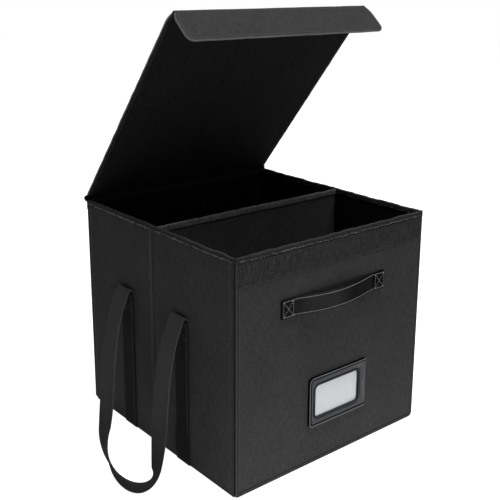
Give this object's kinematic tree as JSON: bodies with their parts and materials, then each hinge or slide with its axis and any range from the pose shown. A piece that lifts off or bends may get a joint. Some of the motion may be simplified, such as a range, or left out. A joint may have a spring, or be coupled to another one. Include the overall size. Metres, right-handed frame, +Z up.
{
  "type": "record storage box",
  "caption": "Soft-sided storage box for record sleeves, with a hinged lid and fold-down lip, webbing carrying loops, front pull strap, slide-in label, loose base board and lift-out divider.",
  "frame": {"origin": "middle of the underside, on the surface that the box stands on", "axes": "+X to the right seen from the front, -Y out of the front face with the label, +Z up"},
  "size_m": [0.5752, 0.3766, 0.6183],
  "materials": {
    "cover": "matte black plain-woven cloth over stiff board",
    "lining": "matte black thin lining cloth",
    "binding": "matte black folded binding tape",
    "pile": "black brushed fastener pile",
    "webbing": "black ribbed webbing",
    "pull_strap": "glossy black grained strap with pale edge stitching",
    "label_holder": "satin dark grey moulded plastic",
    "window_film": "clear film",
    "card": "blank pale card"
  },
  "bodies": {
    "case": {"front_panel": "cover", "front_welt": "binding", "back_panel": "cover", "back_welt": "binding", "left_front_board": "cover", "left_back_board": "cover", "left_crease": "binding", "right_front_board": "cover", "right_back_board": "cover", "right_crease": "binding", "base_panel": "cover", "rim_binding_front": "binding", "rim_binding_back": "binding", "rim_binding_left": "binding", "rim_binding_right": "binding", "loop_tape": "pile", "front_pull_strap": "pull_strap", "label_holder": "label_holder", "label_window": "window_film", "left_face_strap_front": "webbing", "left_face_strap_back": "webbing", "right_face_strap_front": "webbing", "right_face_strap_back": "webbing", "lid_hinge_strip": "binding"},
    "label_card": {"label_card": "card"},
    "left_loop": {"left_carry_loop": "webbing"},
    "right_loop": {"right_carry_loop": "webbing"},
    "base_insert": {"base_insert": "lining"},
    "divider": {"divider_panel": "cover", "divider_binding": "binding"},
    "lid": {"lid_hinge_flap": "binding", "lid_panel": "cover", "lid_lining": "lining", "lid_binding_left": "binding", "lid_binding_right": "binding", "lid_front_fold": "binding"},
    "lid_lip": {"lip_fold_flap": "binding", "lip_panel": "cover", "lip_lining": "lining", "lip_binding": "binding", "hook_tape": "pile"}
  },
  "joints": [
    {"name": "lid_hinge", "type": "hinge", "parent": "case", "child": "lid", "pos_m": [0, 0.1827, 0.3328], "axis": [-1, 0, 0], "range_deg": [-50.5, 189.5]},
    {"name": "lip_fold", "type": "hinge", "parent": "lid", "child": "lid_lip", "pos_m": [0, -0.05168, 0.61713], "axis": [1, 0, 0], "range_deg": [-92, 28]},
    {"name": "left_loop_swing", "type": "hinge", "parent": "case", "child": "left_loop", "pos_m": [-0.1793, 0.003, 0.218], "axis": [0, 1, 0], "range_deg": [0, 150]},
    {"name": "right_loop_swing", "type": "hinge", "parent": "case", "child": "right_loop", "pos_m": [0.1793, 0.003, 0.218], "axis": [0, -1, 0], "range_deg": [0, 150]},
    {"name": "base_insert_lift", "type": "slide", "parent": "case", "child": "base_insert", "axis": [0, 0, 1], "range_m": [0, 0.2]},
    {"name": "divider_lift", "type": "slide", "parent": "base_insert", "child": "divider", "axis": [0, 0, 1], "range_m": [0, 0.215]},
    {"name": "label_card_slide", "type": "slide", "parent": "case", "child": "label_card", "axis": [1, 0, 0], "range_m": [0, 0.09]}
  ]
}
